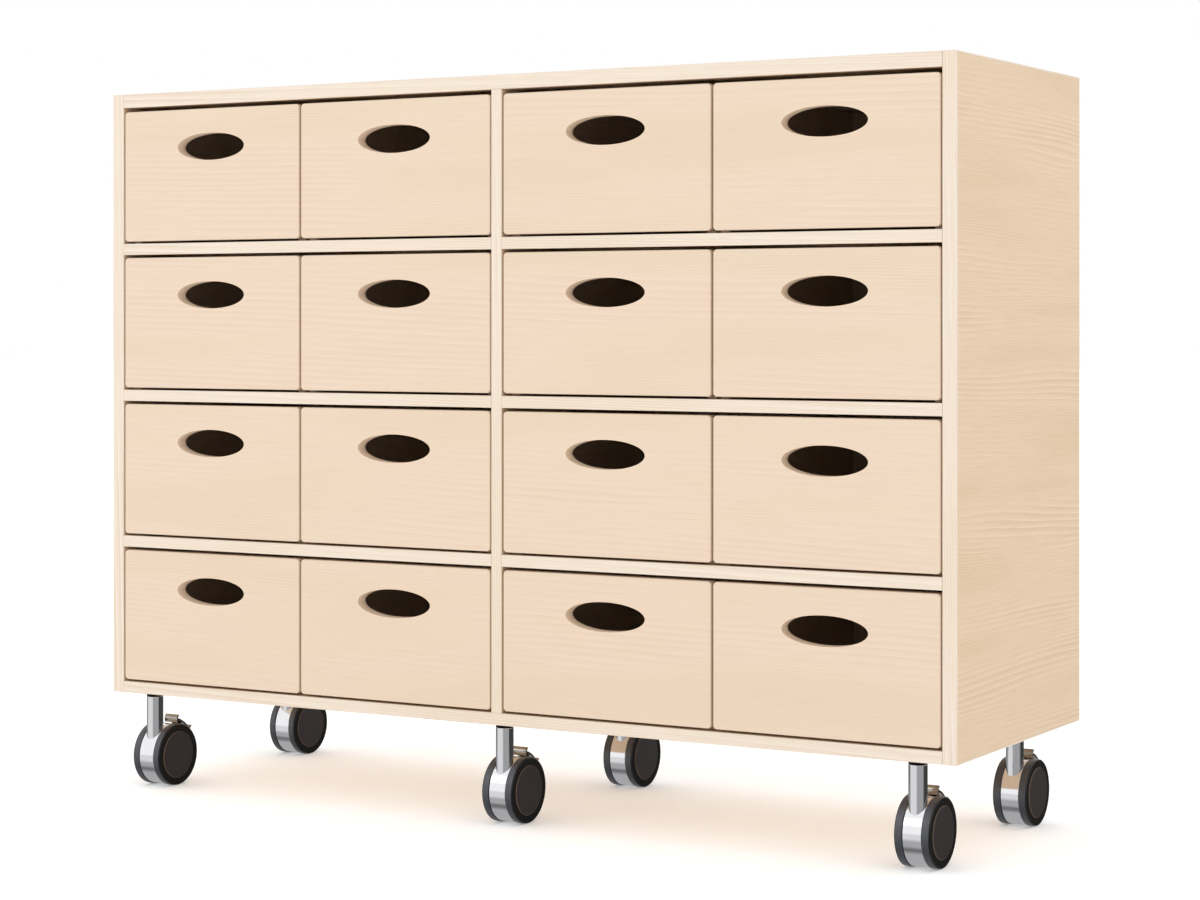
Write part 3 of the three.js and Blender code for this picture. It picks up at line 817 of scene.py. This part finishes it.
pick(lever, "VERT", lambda vertex: (vertex.co - inner_corner).yz.length < LEVER_ROUND)
undercut = LEVER_THICKNESS * math.tan(LEVER_UNDERCUT)
bpy.ops.transform.translate(value=undercut * spoke(LEVER_FRONT_ANGLE - math.pi / 2))
bpy.ops.object.mode_set(mode="OBJECT")
draw_out(lever, LEVER_FRONT_ANGLE, False, -LEVER_NOSE * spoke(LEVER_FRONT_ANGLE + LEVER_NOSE_LEAN))
bevel_square_edges(lever, LEVER_ROUND, LEVER_SEGMENTS)
smooth(lever)
print("lever strip:", len(lever.data.polygons), "faces")

# %% [markdown]
# ## Castor: lever pivot
# Under the strip is a hub that rocks on a small pin, in a slot milled into the drum. Joining a cylinder and
# a block would leave a seam where they meet. Hub and slot have the same outline, round at the inner end and
# straight outwards, so one function makes both: a circle whose outer half is moved outwards, extruded to
# its width, and cut off square by a bisecting plane.

# %% Lever hub, pin and slot
PIVOT_DEPTH = 7 * MM
PIVOT_HUB_RADIUS = 4.5 * MM
PIVOT_HUB_WIDTH = 8 * MM
PIVOT_PIN_RADIUS = 2 * MM
PIVOT_MARGIN = 1.8 * MM
PIVOT_SIDES = 48

outward = spoke((LEVER_FRONT_ANGLE + LEVER_REAR_ANGLE) / 2)
pivot = axle + (drum_radius - PIVOT_DEPTH) * outward
sideways = Vector((1, 0, 0))


def pivot_form(name, radius, reach, width):
    """A round about the pivot that runs outwards as far as the reach, square to the axle."""
    bpy.ops.object.select_all(action="DESELECT")
    bpy.ops.mesh.primitive_circle_add(
        vertices=PIVOT_SIDES,
        radius=radius,
        fill_type="NGON",
        location=pivot - width / 2 * sideways,
        rotation=(0, math.pi / 2, 0),
    )
    form = bpy.context.object
    form.name = name
    bpy.ops.object.transform_apply(location=True, rotation=True, scale=True)
    pick(form, "VERT", lambda vertex: (vertex.co - pivot).dot(outward) > -NEAR)
    bpy.ops.transform.translate(value=reach * outward)
    bpy.ops.mesh.select_all(action="SELECT")
    bpy.ops.mesh.extrude_region_move(TRANSFORM_OT_translate={"value": width * sideways})
    bpy.ops.mesh.select_all(action="SELECT")
    bpy.ops.mesh.bisect(plane_co=pivot + reach * outward, plane_no=outward, use_fill=True, clear_outer=True)
    bpy.ops.mesh.select_all(action="SELECT")
    bpy.ops.mesh.normals_make_consistent(inside=False)
    bpy.ops.object.mode_set(mode="OBJECT")
    return form


def pivot_rod(name, radius, length):
    """A rod through the pivot."""
    return turned(name, X, pivot, [(-length / 2, radius), (length / 2, radius)], closed=False)


slot_width = PIVOT_HUB_WIDTH + 2 * RUNNING_ROOM
cut(drum, pivot_form("slot_cutter", PIVOT_HUB_RADIUS + PIVOT_MARGIN, 2 * PIVOT_DEPTH, slot_width))
hub = pivot_form("castor_lever_hub", PIVOT_HUB_RADIUS, PIVOT_DEPTH + LEVER_RIM_GAP, PIVOT_HUB_WIDTH)
cut(hub, pivot_rod("hub_bore", PIVOT_PIN_RADIUS + RUNNING_ROOM, 2 * PIVOT_HUB_WIDTH))
rod = pivot_rod("castor_lever_pin", PIVOT_PIN_RADIUS, slot_width + 2 * PIVOT_PIN_RADIUS)
for piece in (hub, rod, drum, stem, collar):
    break_arrises(piece)
    smooth(piece)
print("lever hub and slot:", len(hub.data.polygons), "and", len(drum.data.polygons), "faces")

# %% [markdown]
# ## Castor: wheels
# Each wheel is a black moulded rim with a band of grey rubber round it, and a cover disc on its outer face.
# The tread is slightly crowned. The rim rolls over a soft shoulder into its side wall, and the cover stands
# a hair proud of that wall. Its rounded edge gets the rim mark, which paints it paler: a painted highlight,
# the thin light ring that the eye picks out on the dark wheel. All three are turned. The left wheel could be
# a mirror image, but that turns a mesh inside out, so it has the same profiles with their steps the other
# way.

# %% Wheels
TREAD_DEPTH = 3 * MM
TREAD_CROWN = 0.25 * MM
TREAD_STEPS = 6
TREAD_EDGE = 0.6 * MM
TREAD_EDGE_STEPS = 4
SHOULDER = 1.4 * MM
SHOULDER_STEPS = 6
COVER_RADIUS = 31 * MM
COVER_RISE = 0.6 * MM
COVER_EDGE = 0.45 * MM
COVER_EDGE_STEPS = 5
COVER_SEAT = 1 * MM


def wheel(name, side):
    """A wheel on one side of the drum, as its tread, its rim and its cover."""
    inner_face = Vector((axle.x + side * (drum_side + WHEEL_GAP), axle.y, axle.z))
    edge = wheel_radius - TREAD_CROWN
    wall = wheel_width - COVER_RISE
    tread_end = wall - SHOULDER
    tread_bore = wheel_radius - TREAD_DEPTH
    crown = [
        (
            TREAD_EDGE + (tread_end - TREAD_EDGE) * i / TREAD_STEPS,
            edge + TREAD_CROWN * math.sin(math.pi * i / TREAD_STEPS),
        )
        for i in range(1, TREAD_STEPS)
    ]
    profiles = {
        "tread": [
            (0, tread_bore),
            *arc((TREAD_EDGE, edge - TREAD_EDGE), TREAD_EDGE, 180, 90, TREAD_EDGE_STEPS),
            *crown,
            (tread_end, edge),
            (tread_end, tread_bore),
            (0, tread_bore),
        ],
        "rim": [
            (wheel_width - HUB_COVER, AXLE_RADIUS + RUNNING_ROOM),
            (0, AXLE_RADIUS + RUNNING_ROOM),
            (0, tread_bore),
            (tread_end, tread_bore),
            *arc((tread_end, edge - SHOULDER), SHOULDER, 90, 0, SHOULDER_STEPS),
            (wall, COVER_RADIUS),
            (wall - COVER_SEAT, COVER_RADIUS),
            (wall - COVER_SEAT, AXLE_RADIUS),
        ],
        "cover": [
            (wall - COVER_SEAT, COVER_RADIUS),
            *arc((wheel_width - COVER_EDGE, COVER_RADIUS - COVER_EDGE), COVER_EDGE, 90, 0, COVER_EDGE_STEPS),
            (wheel_width, AXLE_RADIUS),
        ],
    }
    pieces = {}
    for part, profile in profiles.items():
        steps = [(side * at, radius) for at, radius in profile]
        pieces[part] = turned(f"{name}_{part}", X, inner_face, steps, closed=part == "tread")
        smooth(pieces[part])
    # The cover's rounded edge gets the rim mark, which paints it paler: a painted highlight.
    mark_rim(pieces["cover"], X, lambda place: True)
    return pieces


WHEELS = {"left": wheel("castor_wheel_left", -1), "right": wheel("castor_wheel_right", 1)}
print("wheel radius and width:", [round(size, 4) for size in (wheel_radius, wheel_width)], "m")

# %% [markdown]
# ## Six castors
# The first castor is now complete, and its pieces are copied to all six places. A table says for each piece
# what it is made of and which body it moves with, so that one loop can dress them all: the collar stays
# with the carcass, the casting swivels, and the wheels and the lever turn on the casting.

# %% Copy the castors
castor_pieces = [
    ("pin_collar", collar, BLACKENED, "black_steel", "carcass", "{}_pin"),
    ("stem", stem, CHROME, "chrome", "{}", "{}_housing"),
    ("drum", drum, CHROME, "chrome", "{}", None),
    ("lever_pin", rod, CHROME, "chrome", "{}", None),
    ("lever_strip", lever, DARK_CHROME, "chrome", "{}_brake_lever", "{}_brake_lever"),
    ("lever_hub", hub, BLACKENED, "black_steel", "{}_brake_lever", None),
]
for side, pieces in WHEELS.items():
    wheel_body = f"{{}}_wheel_{side}"
    castor_pieces += [
        (f"wheel_{side}_tread", pieces["tread"], TREAD, "wheel_rubber", wheel_body, wheel_body),
        (f"wheel_{side}_rim", pieces["rim"], RIM, "wheel_rubber", wheel_body, None),
        (f"wheel_{side}_cover", pieces["cover"], COVER, "wheel_rubber", wheel_body, None),
    ]
for castor in CASTORS:
    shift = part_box(f"{castor}_pin")[0] - pin_low
    for name, piece, material, slot, body, node in castor_pieces:
        twin = copy_of(piece, f"{castor}_{name}", shift)
        dress(twin, material, body.format(castor), slot, *([node.format(castor)] if node else []))
for _, piece, *_ in castor_pieces:
    bpy.data.objects.remove(piece)
print("castor pieces:", len(CASTORS) * len(castor_pieces))

# %% [markdown]
# ## Floor
# The unit stands on a plain white floor. It glows a little, as a photographer's light table does, which
# softens the shadow under the unit. Chrome shows whatever is round it, and a bare white floor would make it
# look like white paint, so the floor is hidden from reflections and the chrome shows the studio below it
# instead.

# %% Floor
FLOOR_SIZE = 60.0
FLOOR_GLOW = 0.25
FLOOR_ROUGHNESS = 0.9

bpy.ops.object.select_all(action="DESELECT")
bpy.ops.mesh.primitive_plane_add(size=FLOOR_SIZE)
floor = bpy.context.object
floor.name = "floor"
floor.visible_glossy = False
# Matt white paint: no highlight at all, only the soft shadow of the unit.
floor_paint, _, floor_shader = new_material("white_matt_floor")
floor_shader.inputs["Base Color"].default_value = linear("#FCFCFC")
floor_shader.inputs["Roughness"].default_value = FLOOR_ROUGHNESS
floor_shader.inputs["Emission Color"].default_value = linear("#FFFFFF")
floor_shader.inputs["Emission Strength"].default_value = FLOOR_GLOW
floor.data.materials.append(floor_paint)
print("floor:", FLOOR_SIZE, "m square")

# %% [markdown]
# ## Studio
# Above the horizon the studio is a plain white tent. Below it, where only reflections look, there are pale
# walls on the left, greyer ones in front, and a dark side on the right and behind: these are the upright
# stripes in the chromed stems. A dark band further down gives the drums their dark line, and the ground
# under it is grey again. Real walls would need panels and lamps all round; two colour ramps on the sky's
# directions do the same. Each stop of a ramp is a place, as a share of the way round or down, and the grey
# there.

# %% Studio
SKY_STRENGTH = 1.0
WALLS = [
    (0.0, 0.76),
    (0.19, 0.78),
    (0.24, 0.28),
    (0.32, 0.28),
    (0.5, 0.06),
    (0.715, 0.045),
    (0.775, 0.38),
    (0.96, 0.36),
    (0.99, 0.76),
]
GROUND = [(0.58, 0.43), (0.66, 0.18), (0.7, 0.18), (0.75, 0.42)]
WALLS_END = (-0.44, -0.3)
HORIZON = (-0.07, -0.035)
TENT = linear("#FFFFFF")

world = bpy.data.worlds.new("studio")
world.use_nodes = True
bpy.context.scene.world = world
bpy.context.scene.view_settings.view_transform = "Standard"
tree = world.node_tree

height = add(tree, "SeparateXYZ", {0: add(tree, "TexCoord", {}, "Generated")}, "Z")
to_right, to_rear = height.node.outputs["X"], height.node.outputs["Y"]
turn = add(tree, "Math", {0: to_right, 1: to_rear}, operation="ARCTAN2")
to_front = add(tree, "Math", {0: to_rear, 1: -1}, operation="MULTIPLY")
pitch = add(tree, "Math", {0: height, 1: to_front}, operation="ARCTAN2")
around = add(tree, "MapRange", {"Value": turn, "From Min": -math.pi, "From Max": math.pi})
below = add(tree, "MapRange", {"Value": pitch, "From Min": -math.pi, "From Max": 0.0})
shades = []
for place, stops in ((around, WALLS), (below, GROUND)):
    shade = add(tree, "ValToRGB", {"Fac": place}, "Color")
    steps = shade.node.color_ramp.elements
    while len(steps) < len(stops):
        steps.new(1)
    for step, (position, grey) in zip(steps, stops):
        step.position = position
        step.color = (grey, grey, grey, OPAQUE)
    shades.append(shade)
over_ground = add(tree, "MapRange", {"Value": height, "From Min": WALLS_END[0], "From Max": WALLS_END[1]})
over_horizon = add(tree, "MapRange", {"Value": height, "From Min": HORIZON[0], "From Max": HORIZON[1]})
walls, ground = shades
lower = {MIX_FACTOR: over_ground, MIX_A: ground, MIX_B: walls}
below_horizon = add(tree, "Mix", lower, MIX_RESULT, data_type="RGBA")
whole = {MIX_FACTOR: over_horizon, MIX_A: below_horizon, MIX_B: TENT}
background = tree.nodes["Background"]
tree.links.new(add(tree, "Mix", whole, MIX_RESULT, data_type="RGBA"), background.inputs["Color"])
background.inputs["Strength"].default_value = SKY_STRENGTH
print("studio nodes:", len(tree.nodes))

# %% [markdown]
# ## Key light
# A tent alone leaves everything flat. A small lamp would draw hard shadows, so one large soft light at the
# front left, above the camera, gives the fronts and the edges their direction. It is weak, because the tent
# does most of the work.

# %% Key light
KEY_PLACE = Vector((-1.6, -3.6, 2.6))
KEY_TARGET = Vector((0, 0, 0.5))
KEY_SIZE = (2.6, 1.8)
KEY_POWER = 12

bpy.ops.object.light_add(type="AREA", location=KEY_PLACE)
key = bpy.context.object
key.data.shape = "RECTANGLE"
key.data.size, key.data.size_y = KEY_SIZE
key.data.energy = KEY_POWER
key.rotation_euler = (KEY_TARGET - KEY_PLACE).to_track_quat("-Z", "Y").to_euler()
print("key light:", KEY_POWER, "W")

# %% [markdown]
# ## Camera
# The uprights of the unit are parallel in the picture, so the camera looks level, thirty degrees round to
# the right of the front. It stands at about two thirds of the unit's height, and its lens is shifted down
# to centre the unit, which keeps the uprights straight where tilting the camera would not.

# %% Camera
CAMERA_PLACE = (1.7711, -3.0105, 0.6274)
CAMERA_TURN = math.radians(30)
CAMERA_LENS = 80.4
CAMERA_SENSOR = 36
CAMERA_SHIFT = -0.1076

bpy.ops.object.camera_add(location=CAMERA_PLACE, rotation=(math.pi / 2, 0, CAMERA_TURN))
camera = bpy.context.object
camera.data.sensor_width = CAMERA_SENSOR
camera.data.lens = CAMERA_LENS
camera.data.shift_y = CAMERA_SHIFT
bpy.context.scene.camera = camera
print("camera lens:", CAMERA_LENS, "mm")
